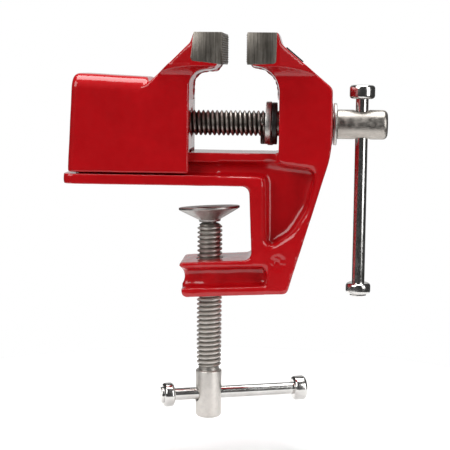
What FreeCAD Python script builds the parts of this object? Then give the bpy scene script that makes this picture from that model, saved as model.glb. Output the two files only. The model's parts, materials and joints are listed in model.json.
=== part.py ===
import FreeCAD, Part
import math
import os
from types import SimpleNamespace

import Sketcher
from FreeCAD import Placement, Rotation, Vector

# A small bench vise that clamps to the edge of a table. X runs along the main screw, from the
# sliding jaw to the handle, Y across the jaws and Z up. The origin is on the underside of the
# seat plate, straight above the clamp screw. Lengths are millimetres and angles degrees.
SIZES = {
    # jaws
    "jawWidth": 40.0, "jawThick": 12.4, "jawTop": 59.0, "jawTall": 12.5,
    "fixedFace": 14.6, "jawGap": 9.0, "jawSlant": 1.3,
    # upright of the fixed casting
    "uprightWide": 30.0, "throatWall": 27.2, "backWall": 47.7, "archRadius": 10.0,
    "shoulderTop": 38.1, "napeAcross": 28.0, "napeTop": 54.6, "bossRadius": 8.4, "bossProud": 0.5,
    "bendRise": 9.5, "bendRadius": 40.0, "shoulderRound": 3.0, "archDrop": 0.8, "haunchBack": 42.0,
    # seat plate and the rail on it
    "plateThick": 4.0, "plateWide": 30.0, "plateLeft": 57.0, "plateRight": 24.0, "plateCorner": 4.0,
    "railNeckTall": 4.8, "railNeckWide": 15.0, "railHeadTall": 3.8, "railHeadWide": 21.0,
    "railLeft": 52.5,
    # C-frame and its lower arm
    "frameWide": 30.0, "armWide": 23.0, "webThick": 15.0, "frameInner": 17.2, "armTop": 29.9,
    "armBottom": 43.6,
    "armLeft": 11.2, "armCorner": 31.2, "armLean": 2.6, "frameDraft": 1.2, "flangeThick": 2.8,
    "nutBossRadius": 9.0,
    "pocketLeft": 22.4, "pocketRim": 2.9, "pocketTop": 6.6, "pocketDeep": 24.4, "cornerRound": 3.0,
    "pocketSide": 38.7, "pocketMiddle": 8.0, "pocketTurn": 32.5, "pocketLow": 18.5,
    "pocketBend": 12.0, "pocketCurve": 8.0, "pocketRound": 1.5, "pocketCorner": 2.5,
    "armRound": 2.0, "nutBossSink": 0.5,
    # sliding casting
    "boxWide": 30.0, "boxLeft": 55.1, "boxRight": 7.6, "boxTop": 43.1, "boxFall": 2.1, "boxDraft": 2.0,
    "boxWall": 4.0, "boxRoof": 4.4, "armFoot": 21.8, "slideArch": 6.0, "slideArchDrop": 2.4,
    "boxRound": 6.0, "boxEdge": 2.5,
    "slideGap": 0.4, "plateGap": 0.6,
    # main screw and what holds it
    "screwAxis": 23.9, "screwRadius": 5.0, "screwTip": 41.5, "headProud": 0.8, "headLong": 19.9,
    "barAt": 9.8, "headRound": 2.2, "runGap": 0.05, "thrustGap": 0.3, "throatGap": 0.9,
    "holeGap": 0.5, "nutLong": 12.0,
    "nutTall": 18.0, "nutGap": 0.1, "outerWasherThick": 1.2, "outerWasherRadius": 8.3,
    "innerWasherThick": 2.0, "innerWasherRadius": 8.3, "springThick": 2.2, "springRadius": 8.6,
    "springSplit": 16.0, "springGap": 0.1, "pinRadius": 0.95, "pinStand": 1.1, "pinDrop": 8.0,
    "pinLean": 10.0, "pinSpace": 0.5,
    # sliding bars and their ends
    "barRadius": 2.5, "knobRadius": 4.9, "knobLong": 4.4, "tipRadius": 3.25, "tipLong": 0.9,
    "capRadius": 5.0, "capLong": 5.4, "capDeep": 3.6, "endRound": 1.2,
    "barUp": 39.4, "barDown": 44.3, "crossLeft": 19.8, "crossRight": 41.0, "crossTurn": 18.0,
    # clamp screw and pad
    "clampTop": 16.1, "clampBottom": 95.2, "clampHead": 19.2, "clampHeadProud": 0.25,
    "crossRise": 9.6, "neckDeep": 0.8, "neckLong": 1.2, "pivotRadius": 2.5, "rivetRadius": 3.8,
    "rivetThick": 1.0, "padFace": 9.4, "padTall": 6.2, "padRadius": 12.2, "padLip": 1.0,
    "padNeckRadius": 4.25, "padPlay": 0.6, "padCupRadius": 5.2, "padCupDeep": 2.5,
    "padTilt": 4.6, "padShift": 0.4, "rivetGap": 0.4,
    # how far joined shapes run into each other, how far cuts run past a face, and small roundings
    "overlap": 1.0, "cutPast": 2.0, "edgeRound": 1.0, "fineRound": 0.4,
    # label plate on the slope behind the fixed jaw
    "labelLong": 8.4, "labelWide": 18.0, "labelThick": 0.5, "labelDown": 1.9,
}

document = FreeCAD.newDocument("BenchVise")
sheet = document.addObject("Spreadsheet::Sheet", "Sizes")
for row, (alias, number) in enumerate(SIZES.items(), start=1):
    sheet.set(f"A{row}", alias)
    sheet.set(f"B{row}", str(number))
    sheet.setAlias(f"B{row}", alias)
document.recompute()


class Size:
    """A number together with the sheet expression it comes from."""

    def __init__(self, value, text):
        self.value = value
        self.text = text

    def __add__(self, other):
        other = as_size(other)
        return Size(self.value + other.value, f"({self.text} + {other.text})")

    def __sub__(self, other):
        other = as_size(other)
        return Size(self.value - other.value, f"({self.text} - {other.text})")

    def __mul__(self, other):
        other = as_size(other)
        return Size(self.value * other.value, f"({self.text} * {other.text})")

    def __truediv__(self, other):
        other = as_size(other)
        return Size(self.value / other.value, f"({self.text} / {other.text})")

    def __neg__(self):
        return Size(-self.value, f"(0 - {self.text})")


def as_size(thing):
    """A Size as it is, or a plain number as a Size."""
    return thing if isinstance(thing, Size) else Size(float(thing), f"{float(thing)}")


s = SimpleNamespace(**{alias: Size(sheet.get(alias), f"Sizes.{alias}") for alias in SIZES})
zero = as_size(0)


def sine(angle):
    """The sine of an angle in degrees."""
    return Size(math.sin(math.radians(angle.value)), f"sin({angle.text})")


def cosine(angle):
    """The cosine of an angle in degrees."""
    return Size(math.cos(math.radians(angle.value)), f"cos({angle.text})")


def bind(thing, **values):
    """Set properties of a document object from sheet expressions."""
    for name, value in values.items():
        thing.setExpression(name.replace("__", "."), as_size(value).text)


def place(thing, across=zero, along=zero, up=zero, axis=None, angle=zero):
    """Put a document object at a bound position, turned about an axis by a bound angle."""
    thing.Placement = Placement(Vector(across.value, along.value, up.value),
                                Rotation(axis or Vector(0, 0, 1), angle.value))
    bind(thing, Placement__Base__x=across, Placement__Base__y=along, Placement__Base__z=up)
    if axis:
        bind(thing, Placement__Rotation__Angle=angle)


# ---- sketches and features ----

def new_body(name):
    """An empty PartDesign body whose label names its piece."""
    body = document.addObject("PartDesign::Body", name)
    body.Label = name
    return body


def new_sketch(body, name, plane, offset=zero, turn=zero):
    """A sketch on one of the body's origin planes, moved along its normal and turned about its X."""
    sketch = body.newObject("Sketcher::SketchObject", name)
    support = next(item for item in body.Origin.OriginFeatures if item.Role == plane)
    sketch.AttachmentSupport = (support, [""])
    sketch.MapMode = "FlatFace"
    sketch.AttachmentOffset = Placement(Vector(0, 0, offset.value),
                                        Rotation(Vector(1, 0, 0), turn.value))
    bind(sketch, AttachmentOffset__Base__z=offset)
    if turn is not zero:
        bind(sketch, AttachmentOffset__Rotation__Angle=turn)
    return sketch


def fix_point(sketch, item, end, across, up):
    """Tie one point of a sketch to a bound place."""
    for kind, size in (("DistanceX", across), ("DistanceY", up)):
        number = sketch.addConstraint(Sketcher.Constraint(kind, item, end, size.value))
        sketch.setExpression(f"Constraints[{number}]", size.text)


def draw_outline(sketch, corners):
    """Draw a closed outline through corners (across, up) or (across, up, rounding radius)."""
    count = len(corners)
    places = [Vector(as_size(c[0]).value, as_size(c[1]).value, 0) for c in corners]
    entries, exits, arcs = [], [], []
    for number, corner in enumerate(corners):
        here = places[number]
        back = (places[number - 1] - here).normalize()
        ahead = (places[(number + 1) % count] - here).normalize()
        if len(corner) == 2:
            entries.append(here)
            exits.append(here)
            arcs.append(None)
            continue
        half = back.getAngle(ahead) / 2
        radius = as_size(corner[2]).value
        entries.append(here + back * (radius / math.tan(half)))
        exits.append(here + ahead * (radius / math.tan(half)))
        centre = here + (back + ahead).normalize() * (radius / math.sin(half))
        arcs.append((centre, (centre + (here - centre).normalize() * radius)))
    lines = [sketch.addGeometry(Part.LineSegment(exits[n], entries[(n + 1) % count]))
             for n in range(count)]
    for number, corner in enumerate(corners):
        across, up = as_size(corner[0]), as_size(corner[1])
        if arcs[number] is None:
            sketch.addConstraint(Sketcher.Constraint("Coincident", lines[number - 1], 2,
                                                     lines[number], 1))
            fix_point(sketch, lines[number], 1, across, up)
            continue
        middle = arcs[number][1]
        arc = sketch.addGeometry(Part.Arc(entries[number], middle, exits[number]))
        starts_first = sketch.getPoint(arc, 1).distanceToPoint(entries[number]) < 1e-6
        first, last = (1, 2) if starts_first else (2, 1)
        sketch.addConstraint(Sketcher.Constraint("Tangent", lines[number - 1], 2, arc, first))
        sketch.addConstraint(Sketcher.Constraint("Tangent", arc, last, lines[number], 1))
        bend = sketch.addConstraint(Sketcher.Constraint("Radius", arc, as_size(corner[2]).value))
        sketch.setExpression(f"Constraints[{bend}]", as_size(corner[2]).text)
        tip = sketch.addGeometry(Part.Point(places[number]), True)
        sketch.addConstraint(Sketcher.Constraint("PointOnObject", tip, 1, lines[number - 1]))
        sketch.addConstraint(Sketcher.Constraint("PointOnObject", tip, 1, lines[number]))
        fix_point(sketch, tip, 1, across, up)


def draw_circle(sketch, across, up, radius):
    """Draw a circle with a bound centre and radius."""
    circle = sketch.addGeometry(Part.Circle(Vector(across.value, up.value, 0), Vector(0, 0, 1),
                                            radius.value))
    fix_point(sketch, circle, 3, across, up)
    number = sketch.addConstraint(Sketcher.Constraint("Radius", circle, radius.value))
    sketch.setExpression(f"Constraints[{number}]", radius.text)


def box_corners(left, low, right, high):
    """The four corners of an upright rectangle."""
    return [(left, low), (right, low), (right, high), (left, high)]


def slab(body, name, corners, wide):
    """Pad an outline of the XZ plane evenly to both sides of Y = 0."""
    sketch = new_sketch(body, name + "Sketch", "XZ_Plane")
    draw_outline(sketch, corners)
    pad = body.newObject("PartDesign::Pad", name)
    pad.Profile = sketch
    pad.SideType = "Symmetric"
    bind(pad, Length=wide)
    return pad


def slot(body, name, corners, wide):
    """Pocket an outline of the XZ plane evenly to both sides of Y = 0."""
    sketch = new_sketch(body, name + "Sketch", "XZ_Plane")
    draw_outline(sketch, corners)
    pocket = body.newObject("PartDesign::Pocket", name)
    pocket.Profile = sketch
    pocket.SideType = "Symmetric"
    bind(pocket, Length=wide)
    return pocket


def recess(body, name, corners, web, wide):
    """Sink an outline into both sides of a slab, leaving a web of the given thickness."""
    for side, sign in (("Front", 1), ("Back", -1)):
        sketch = new_sketch(body, name + side + "Sketch", "XZ_Plane", offset=web * (sign / 2))
        draw_outline(sketch, corners)
        pocket = body.newObject("PartDesign::Pocket", name + side)
        pocket.Profile = sketch
        pocket.Reversed = sign > 0
        bind(pocket, Length=wide / 2)


def slope_cut(body, name, high, low):
    """Thin the C-frame evenly from both sides, from its full width down to the arm's."""
    for side, sign in (("Front", -1), ("Back", 1)):
        sketch = new_sketch(body, name + side + "Sketch", "YZ_Plane")
        full = s.frameWide * (sign / 2)
        past = (s.frameWide / 2 + s.cutPast) * sign
        draw_outline(sketch, [(full, high), (s.armWide * (sign / 2), low), (past, low), (past, high)])
        pocket = body.newObject("PartDesign::Pocket", name + side)
        pocket.Profile = sketch
        pocket.SideType = "Symmetric"
        bind(pocket, Length=s.plateLeft * 2)


def haunch(body, name, face, back, foot, narrow, low, slope):
    """Widen an arm towards its jaw, tapered in plan and trimmed along the arm's slope."""
    sketch = new_sketch(body, name + "Sketch", "XY_Plane", offset=low)
    draw_outline(sketch, [(face, s.jawWidth / -2), (back, s.jawWidth / -2), (foot, narrow / -2),
                          (foot, narrow / 2), (back, s.jawWidth / 2), (face, s.jawWidth / 2)])
    pad = body.newObject("PartDesign::Pad", name)
    pad.Profile = sketch
    bind(pad, Length=s.jawTop - low)
    slot(body, name + "Trim", slope, s.jawWidth + s.cutPast)


def round_edges(body, name, radius, chosen):
    """Round the edges of the body so far whose middles pass a test."""
    document.recompute()
    base = body.Tip
    names = [f"Edge{number}" for number, edge in enumerate(base.Shape.Edges, start=1)
             if chosen(edge.CenterOfMass)]
    fillet = body.newObject("PartDesign::Fillet", name)
    fillet.Base = (base, names)
    bind(fillet, Radius=radius)


def drill(body, name, plane, centre, radius, deep, start=zero, turn=zero, both=False, ahead=False):
    """Pocket a round hole from a plane, against its normal, along it, or to both sides."""
    sketch = new_sketch(body, name + "Sketch", plane, offset=start, turn=turn)
    draw_circle(sketch, centre[0], centre[1], radius)
    pocket = body.newObject("PartDesign::Pocket", name)
    pocket.Profile = sketch
    pocket.SideType = "Symmetric" if both else "One side"
    pocket.Reversed = ahead
    bind(pocket, Length=deep)


def post(body, name, plane, centre, radius, tall, start=zero):
    """Pad a round post from a plane along its normal."""
    sketch = new_sketch(body, name + "Sketch", plane, offset=start)
    draw_circle(sketch, centre[0], centre[1], radius)
    pad = body.newObject("PartDesign::Pad", name)
    pad.Profile = sketch
    bind(pad, Length=tall)


def turned(body, name, corners, axis, sweep=None):
    """Revolve an outline of the XZ plane about the sketch's own H or V axis."""
    sketch = new_sketch(body, name + "Sketch", "XZ_Plane")
    draw_outline(sketch, corners)
    revolution = body.newObject("PartDesign::Revolution", name)
    revolution.Profile = sketch
    revolution.ReferenceAxis = (sketch, [axis + "_Axis"])
    if sweep:
        bind(revolution, Angle=sweep)


# ---- places worked out from the sizes ----
jaw_low = s.jawTop - s.jawTall
moving_face = s.fixedFace - s.jawGap
frame_slope = (s.backWall - s.armCorner) / (s.armBottom + s.plateThick + s.bendRise)
back_at_plate = s.armCorner + frame_slope * (s.armBottom + s.plateThick)
back_bend = s.armCorner + frame_slope * (s.armBottom + s.plateThick + s.bendRise)
nape_rise = s.napeTop - s.shoulderTop
nape_run = s.backWall - s.napeAcross
neck_top = s.plateThick + s.railNeckTall
rail_top = neck_top + s.railHeadTall
nut_right = -(s.boxRight + s.boxWall) - s.nutGap
boss_face = s.backWall + s.bossProud
outer_washer_left = boss_face + s.thrustGap
head_left = outer_washer_left + s.outerWasherThick
head_middle = head_left + s.barAt
inner_washer_left = s.throatWall - s.throatGap - s.innerWasherThick
spring_left = inner_washer_left - s.springGap - s.springThick
pin_across = spring_left - s.pinRadius - s.pinSpace
pin_reach = s.screwRadius + s.pinStand
head_radius = s.screwRadius + s.headProud
clamp_head_radius = s.screwRadius + s.clampHeadProud
neck_radius = s.screwRadius - s.neckDeep
cross_drop = s.clampBottom - s.crossRise


# ---- castings ----

def make_fixed_casting():
    """Seat plate with its rail, C-frame, upright and fixed jaw, cast in one piece."""
    body = new_body("body_casting")
    top_lean = s.armLean * 0.3
    low_lean = s.armLean * 0.4
    frame_root = s.frameInner - s.cornerRound * 2
    slab(body, "CFrame", [
        (-s.armLeft, -s.armTop - top_lean, s.edgeRound),
        (-s.armLeft + s.edgeRound, -s.armBottom - low_lean, s.armRound),
        (s.armCorner, -s.armBottom + low_lean, s.armRound), (back_at_plate, s.plateThick),
        (frame_root, s.plateThick), (frame_root, zero),
        (s.frameInner - s.frameDraft, zero, s.cornerRound),
        (s.frameInner, -s.armTop + top_lean, s.cornerRound)], s.frameWide)
    slab(body, "Upright", [
        (s.throatWall, s.plateThick / 2), (back_at_plate, s.plateThick),
        (back_bend, s.plateThick + s.bendRise, s.bendRadius),
        (s.backWall, s.shoulderTop, s.shoulderRound),
        (s.napeAcross, s.napeTop, s.armRound),
        (s.fixedFace + s.jawThick - s.jawSlant, s.jawTop - s.overlap),
        (s.fixedFace + s.overlap, s.jawTop - s.overlap), (s.fixedFace + s.overlap, jaw_low),
        (s.throatWall, jaw_low - s.archDrop, s.archRadius)], s.uprightWide)
    haunch(body, "Haunch", s.fixedFace + s.overlap, s.fixedFace + s.jawThick, s.haunchBack,
           s.uprightWide, jaw_low,
           [(s.napeAcross, s.napeTop), (s.napeAcross - s.cutPast, s.jawTop + s.cutPast),
            (s.backWall + s.cutPast, s.jawTop + s.cutPast),
            (s.backWall + s.cutPast, s.shoulderTop - nape_rise / nape_run * s.cutPast)])
    jaw_back = s.fixedFace + s.jawThick
    slab(body, "FixedJaw", [
        (s.fixedFace, jaw_low), (jaw_back, jaw_low), (jaw_back, s.jawTop - s.jawSlant * 3),
        (jaw_back - s.jawSlant * 0.6, s.jawTop), (s.fixedFace, s.jawTop)], s.jawWidth)
    rail_root = s.throatWall + s.overlap
    slab(body, "RailNeck", box_corners(-s.railLeft, s.plateThick / 2, rail_root,
                                       neck_top + s.railHeadTall / 2), s.railNeckWide)
    slab(body, "RailHead", box_corners(-s.railLeft, neck_top, rail_root, rail_top),
         s.railHeadWide)
    plate = new_sketch(body, "PlateSketch", "XY_Plane")
    draw_outline(plate, [(-s.plateLeft, -s.plateWide / 2, s.plateCorner),
                         (s.plateRight, -s.plateWide / 2, s.plateCorner),
                         (s.plateRight, s.plateWide / 2, s.plateCorner),
                         (-s.plateLeft, s.plateWide / 2, s.plateCorner)])
    pad = body.newObject("PartDesign::Pad", "Plate")
    pad.Profile = plate
    bind(pad, Length=s.plateThick)
    slope_cut(body, "FrameDraft", zero, -s.armBottom - s.armLean - s.cutPast)
    recess(body, "Pocket", [
        (s.pocketLeft, neck_top), (back_at_plate - s.pocketRim, s.pocketTop, s.pocketCorner),
        (s.pocketSide, -s.pocketMiddle, s.pocketBend), (s.pocketTurn, -s.pocketLow, s.pocketCurve),
        (s.pocketLeft + s.edgeRound / 2, -s.pocketDeep, s.pocketRound)], s.webThick, s.uprightWide)
    arm_upper = -s.armTop - s.flangeThick
    arm_lower = -s.armBottom + s.flangeThick * 1.3
    recess(body, "ArmRecess", [
        (-s.armLeft - s.cutPast, arm_upper - top_lean), (-s.armLeft - s.cutPast, arm_lower - top_lean),
        (s.pocketLeft + s.edgeRound, arm_lower + top_lean, s.edgeRound),
        (s.pocketLeft, arm_upper + top_lean, s.edgeRound)], s.webThick, s.frameWide)
    post(body, "NutBoss", "XY_Plane", (zero, zero), s.nutBossRadius,
         s.armBottom - s.armTop - s.nutBossSink * 2, start=-s.armBottom + s.nutBossSink)
    boss_root = (s.throatWall + s.backWall) / 2
    post(body, "ScrewBoss", "YZ_Plane", (zero, s.screwAxis), s.bossRadius,
         s.bossProud + s.backWall - boss_root, start=boss_root)
    drill(body, "ScrewBore", "YZ_Plane", (zero, s.screwAxis), s.screwRadius + s.runGap,
          s.backWall - s.throatWall + s.bossProud + s.cutPast * 2, start=s.throatWall - s.cutPast,
          ahead=True)
    drill(body, "ClampBore", "XY_Plane", (zero, zero), s.screwRadius + s.runGap,
          s.armBottom - s.armTop + s.armLean + s.cutPast * 2, start=-s.armTop + s.armLean)
    return body


def make_sliding_casting():
    """Hollow box that rides on the rail, with an arm up to the sliding jaw."""
    body = new_body("moving_jaw")
    box_low = s.plateThick + s.plateGap
    jaw_back = moving_face - s.jawThick
    roof_right = s.boxTop - s.boxFall
    arm_high = s.jawTop - s.jawSlant * 3
    arm_slope = (arm_high - roof_right) / (s.armFoot + jaw_back)
    arm_sink = s.boxRound + s.overlap
    arm_root = -s.armFoot - arm_sink / arm_slope
    arm_face = moving_face - s.overlap * 3
    slab(body, "Box", [
        (-s.boxLeft, box_low), (-s.boxRight, box_low), (-s.boxRight, roof_right),
        (-s.boxLeft + s.boxDraft, s.boxTop)], s.boxWide)
    sides_from = s.boxWide.value / 2 - s.boxRound.value / 2
    roof_from = s.boxTop.value - s.boxFall.value - s.boxRound.value / 2
    end_to = -s.boxLeft.value + s.boxDraft.value + s.boxEdge.value / 2
    round_edges(body, "BoxSides", s.boxRound,
                lambda middle: abs(middle.y) > sides_from and middle.z > roof_from)
    round_edges(body, "BoxEnd", s.boxEdge,
                lambda middle: middle.x < end_to and middle.z > s.plateThick.value + s.boxEdge.value)
    slab(body, "Arm", [
        (arm_root, roof_right - arm_sink), (-s.boxRight, roof_right - arm_sink),
        (-s.boxRight, jaw_low - s.slideArchDrop, s.slideArch),
        (arm_face, jaw_low - s.slideArchDrop / 2), (arm_face, arm_high), (jaw_back, arm_high)],
        s.boxWide)
    haunch(body, "Haunch", moving_face - s.overlap, jaw_back, -s.armFoot, s.boxWide, jaw_low,
           [(jaw_back, arm_high), (jaw_back + s.cutPast, s.jawTop + s.cutPast),
            (-s.armFoot - s.cutPast, s.jawTop + s.cutPast),
            (-s.armFoot - s.cutPast, roof_right - arm_slope * s.cutPast)])
    slab(body, "SlidingJaw", [
        (jaw_back, jaw_low), (moving_face, jaw_low), (moving_face, s.jawTop),
        (jaw_back + s.jawSlant, s.jawTop), (jaw_back, s.jawTop - s.jawSlant * 3)], s.jawWidth)
    slot(body, "Hollow", box_corners(-s.boxLeft + s.boxWall, rail_top, -s.boxRight - s.boxWall,
                                     roof_right - s.boxRoof),
         s.boxWide - s.boxWall * 2)
    slot_left = -s.boxLeft - s.cutPast
    slot_right = -s.boxRight + s.cutPast
    slot(body, "HeadSlot", box_corners(slot_left, neck_top - s.slideGap, slot_right,
                                       rail_top + s.slideGap), s.railHeadWide + s.slideGap * 2)
    slot(body, "NeckSlot", box_corners(slot_left, box_low - s.cutPast, slot_right, neck_top),
         s.railNeckWide + s.slideGap * 2)
    drill(body, "ScrewHole", "YZ_Plane", (zero, s.screwAxis), s.screwRadius + s.holeGap,
          s.boxWall + s.cutPast * 2, start=-s.boxRight - s.boxWall - s.cutPast, ahead=True)
    return body


def make_nut():
    """Steel block nut that fills the width of the hollow behind the box's front wall."""
    block = document.addObject("Part::Box", "NutBlock")
    wide = s.boxWide - s.boxWall * 2 - s.nutGap * 2
    bind(block, Length=s.nutLong, Width=wide, Height=s.nutTall)
    place(block, nut_right - s.nutLong, wide / -2, s.screwAxis - s.nutTall / 2)
    hole = document.addObject("Part::Cylinder", "NutThread")
    bind(hole, Radius=s.screwRadius + s.runGap, Height=s.nutLong + s.cutPast * 2)
    place(hole, nut_right - s.nutLong - s.cutPast, up=s.screwAxis, axis=Vector(0, 1, 0),
          angle=as_size(90))
    nut = document.addObject("Part::Cut", "spindle_nut")
    nut.Base = block
    nut.Tool = hole
    nut.Label = "spindle_nut"
    return nut


# ---- main screw ----

def make_main_screw():
    """Screw with a round head, cross-drilled for the bar and for the split pin."""
    body = new_body("main_screw")
    turned(body, "Turning", [
        (-s.screwTip, zero), (-s.screwTip, s.screwRadius - s.edgeRound),
        (-s.screwTip + s.edgeRound, s.screwRadius),
        (head_left, s.screwRadius), (head_left, head_radius, s.fineRound),
        (head_left + s.headLong, head_radius, s.headRound), (head_left + s.headLong, zero)], "H")
    drill(body, "BarHole", "XY_Plane", (head_middle, zero), s.barRadius + s.runGap,
          head_radius * 3, both=True)
    drill(body, "PinHole", "XZ_Plane", (pin_across, zero), s.pinRadius + s.runGap,
          s.screwRadius * 3, turn=-s.pinLean, both=True)
    place(body, up=s.screwAxis)
    return body


def make_washer(name, left, thick, radius):
    """Flat washer on the main screw."""
    disc = document.addObject("Part::Cylinder", name + "Disc")
    bind(disc, Radius=radius, Height=thick)
    hole = document.addObject("Part::Cylinder", name + "Hole")
    bind(hole, Radius=s.screwRadius + s.runGap, Height=thick + s.cutPast * 2)
    place(hole, up=-s.cutPast)
    washer = document.addObject("Part::Cut", name)
    washer.Base = disc
    washer.Tool = hole
    washer.Label = name
    place(washer, left, up=s.screwAxis, axis=Vector(0, 1, 0), angle=as_size(90))
    return washer


def make_spring_washer():
    """Square-section ring with a split, pressed between the pin and the inner washer."""
    body = new_body("spring_washer")
    turned(body, "Ring", box_corners(spring_left, s.screwRadius + s.runGap * 2,
                                     spring_left + s.springThick, s.springRadius), "H",
           sweep=as_size(360) - s.springSplit)
    place(body, up=s.screwAxis)
    return body


def make_split_pin():
    """Pin through the screw with a round eye in front and its legs bent down behind."""
    shank = document.addObject("Part::Cylinder", "PinShank")
    bind(shank, Radius=s.pinRadius, Height=pin_reach * 2)
    place(shank, along=pin_reach, axis=Vector(1, 0, 0), angle=as_size(90))
    eye = document.addObject("Part::Sphere", "PinEye")
    bind(eye, Radius=s.pinRadius * 1.35)
    place(eye, along=-pin_reach)
    bend = document.addObject("Part::Sphere", "PinBend")
    bind(bend, Radius=s.pinRadius)
    place(bend, along=pin_reach)
    leg = document.addObject("Part::Cylinder", "PinLeg")
    bind(leg, Radius=s.pinRadius, Height=s.pinDrop)
    place(leg, along=pin_reach, up=-s.pinDrop)
    pin = document.addObject("Part::MultiFuse", "cotter_pin")
    pin.Shapes = [shank, eye, bend, leg]
    pin.Label = "cotter_pin"
    place(pin, pin_across, up=s.screwAxis, axis=Vector(1, 0, 0), angle=-s.pinLean)
    return pin


# ---- sliding bars ----

def make_bar(name, low, high):
    """Bar from its upset knob at the low end to just inside the cap at the high end."""
    body = new_body(name)
    knob_low = low + s.tipLong
    knob_high = knob_low + s.knobLong
    turned(body, "Turning", [
        (zero, low), (s.tipRadius, low, s.fineRound), (s.tipRadius, knob_low),
        (s.knobRadius, knob_low, s.endRound), (s.knobRadius, knob_high, s.endRound),
        (s.barRadius, knob_high), (s.barRadius, high - s.capLong + s.capDeep),
        (zero, high - s.capLong + s.capDeep)], "V")
    return body


def make_cap(name, high):
    """Cap pressed on the bar's high end."""
    body = new_body(name)
    low = high - s.capLong
    turned(body, "Turning", [
        (s.barRadius, low), (s.capRadius, low, s.endRound), (s.capRadius, high, s.endRound),
        (zero, high), (zero, low + s.capDeep), (s.barRadius, low + s.capDeep)], "V")
    return body


def place_on_cross(body):
    """Lay a bar piece down through the clamp screw's head."""
    lying = Rotation(Vector(0, 0, 1), s.crossTurn.value) * Rotation(Vector(0, 1, 0), 90)
    body.Placement = Placement(Vector(0, 0, -cross_drop.value), lying)
    bind(body, Placement__Base__z=-cross_drop)


# ---- clamp ----

def make_clamp_screw():
    """Screw with a pivot and rivet head on top and a cross-drilled head below."""
    body = new_body("clamp_screw")
    rivet_low = -s.padFace - s.padCupDeep + s.rivetGap
    head_top = -s.clampBottom + s.clampHead
    neck_high = head_top + s.neckLong
    turned(body, "Turning", [
        (zero, -s.clampBottom), (clamp_head_radius, -s.clampBottom, s.headRound),
        (clamp_head_radius, head_top, s.fineRound), (neck_radius, head_top), (neck_radius, neck_high),
        (s.screwRadius, neck_high + s.screwRadius - neck_radius),
        (s.screwRadius, -s.clampTop - s.edgeRound), (s.screwRadius - s.edgeRound, -s.clampTop),
        (s.pivotRadius, -s.clampTop), (s.pivotRadius, rivet_low), (s.rivetRadius, rivet_low),
        (s.rivetRadius, rivet_low + s.rivetThick, s.fineRound), (zero, rivet_low + s.rivetThick)], "V")
    sketch = new_sketch(body, "CrossHoleSketch", "XZ_Plane")
    draw_circle(sketch, zero, -cross_drop, s.barRadius + s.runGap)
    sketch.AttachmentOffset = Placement(Vector(), Rotation(Vector(0, 1, 0), s.crossTurn.value + 90))
    bind(sketch, AttachmentOffset__Rotation__Angle=s.crossTurn + 90)
    hole = body.newObject("PartDesign::Pocket", "CrossHole")
    hole.Profile = sketch
    hole.SideType = "Symmetric"
    bind(hole, Length=clamp_head_radius * 3)
    return body


def make_clamp_pad():
    """Cone-shaped pad that swivels on the clamp screw's pivot."""
    body = new_body("clamp_pad")
    bore = s.pivotRadius + s.padPlay
    turned(body, "Turning", [
        (bore, -s.padTall), (s.padNeckRadius, -s.padTall),
        (s.padNeckRadius, -s.padTall + s.edgeRound),
        (s.padRadius, -s.padLip), (s.padRadius, zero, s.fineRound), (s.padCupRadius, zero),
        (s.padCupRadius, -s.padCupDeep), (bore, -s.padCupDeep)], "V")
    place(body, -s.padShift, up=-s.padFace, axis=Vector(-1, -1, 0), angle=s.padTilt)
    return body


def make_label():
    """Thin plain plate on the slope behind the fixed jaw."""
    plate = document.addObject("Part::Box", "label_plate")
    plate.Label = "label_plate"
    bind(plate, Length=s.labelLong, Width=s.labelWide, Height=s.labelThick)
    reach = (nape_run.value ** 2 + nape_rise.value ** 2) ** 0.5
    slope = Size(math.degrees(math.atan2(nape_rise.value, nape_run.value)),
                 f"atan({nape_rise.text} / {nape_run.text})")
    start = s.napeAcross + s.labelDown * cosine(slope)
    place(plate, start, s.labelWide / -2, s.napeTop - s.labelDown * sine(slope),
          axis=Vector(0, 1, 0), angle=slope)
    return plate


# ---- the whole vise ----
pieces = [make_fixed_casting(), make_sliding_casting(), make_nut(), make_main_screw(),
          make_washer("inner_washer", inner_washer_left, s.innerWasherThick, s.innerWasherRadius),
          make_washer("outer_washer", outer_washer_left, s.outerWasherThick, s.outerWasherRadius),
          make_spring_washer(), make_split_pin(), make_clamp_screw(), make_clamp_pad(), make_label()]

main_bar = make_bar("main_handle_bar", -s.barDown, s.barUp)
main_cap = make_cap("main_handle_cap", s.barUp)
for piece in (main_bar, main_cap):
    place(piece, head_middle)
cross_bar = make_bar("clamp_handle_bar", -s.crossLeft, s.crossRight)
cross_cap = make_cap("clamp_handle_cap", s.crossRight)
for piece in (cross_bar, cross_cap):
    place_on_cross(piece)
pieces += [main_bar, main_cap, cross_bar, cross_cap]

document.recompute()
for item in document.Objects:
    if "Invalid" in item.State or "Error" in item.State:
        raise RuntimeError(f"{item.Name} failed to build: {item.State}")
os.makedirs("parts", exist_ok=True)
for piece in pieces:
    if piece.Shape.isNull() or not piece.Shape.isValid():
        raise RuntimeError(f"{piece.Label} has no valid shape")
    piece.Shape.exportStep(f"parts/{piece.Label}.step")
    print(piece.Label, "solids", len(piece.Shape.Solids), "volume", round(piece.Shape.Volume, 1))
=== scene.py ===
import json
import math

import bmesh
import bpy
from mathutils import Matrix, Vector, noise
from mathutils.bvhtree import BVHTree
from mathutils.kdtree import KDTree

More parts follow.
